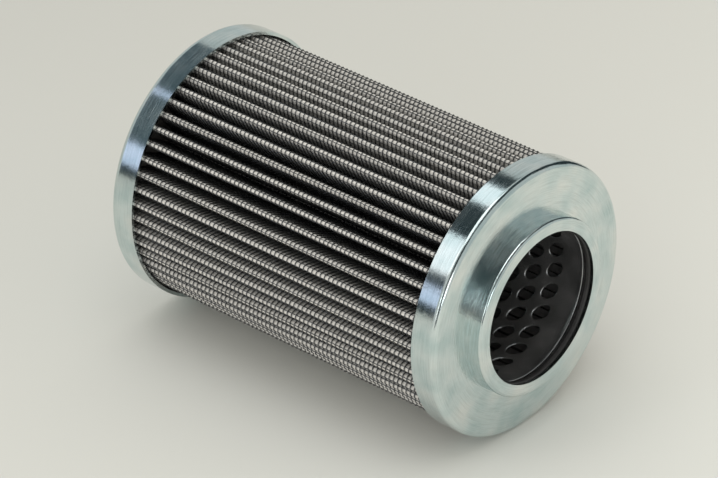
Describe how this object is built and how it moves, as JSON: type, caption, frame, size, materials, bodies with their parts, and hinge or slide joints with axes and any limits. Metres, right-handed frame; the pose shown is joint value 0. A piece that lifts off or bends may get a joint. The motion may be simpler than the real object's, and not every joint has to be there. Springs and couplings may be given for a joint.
{
  "type": "pleated filter element",
  "caption": "Hydraulic return-line style pleated filter element: wire-cloth pleats between two plated caps, one with a raised inlet collar.",
  "frame": {"origin": "centre of the closed end cap's outer face, on the surface it stands on", "axes": "+Z along the element's axis, towards the open collar"},
  "size_m": [0.068, 0.068, 0.1041],
  "materials": {
    "zinc_plate": "satin",
    "steel_wire": "satin",
    "pleat_medium": "matte",
    "core_steel": "satin",
    "adhesive": "matte",
    "seal_rubber": "satin"
  },
  "bodies": {
    "root": {"end_cap_open": "zinc_plate", "end_cap_closed": "zinc_plate", "outer_wire_cloth": "steel_wire", "filter_medium": "pleat_medium", "inner_wire_cloth": "steel_wire", "core_tube": "core_steel", "potting_closed_end": "adhesive", "potting_open_end": "adhesive", "o_ring_seal": "seal_rubber"}
  },
  "joints": []
}
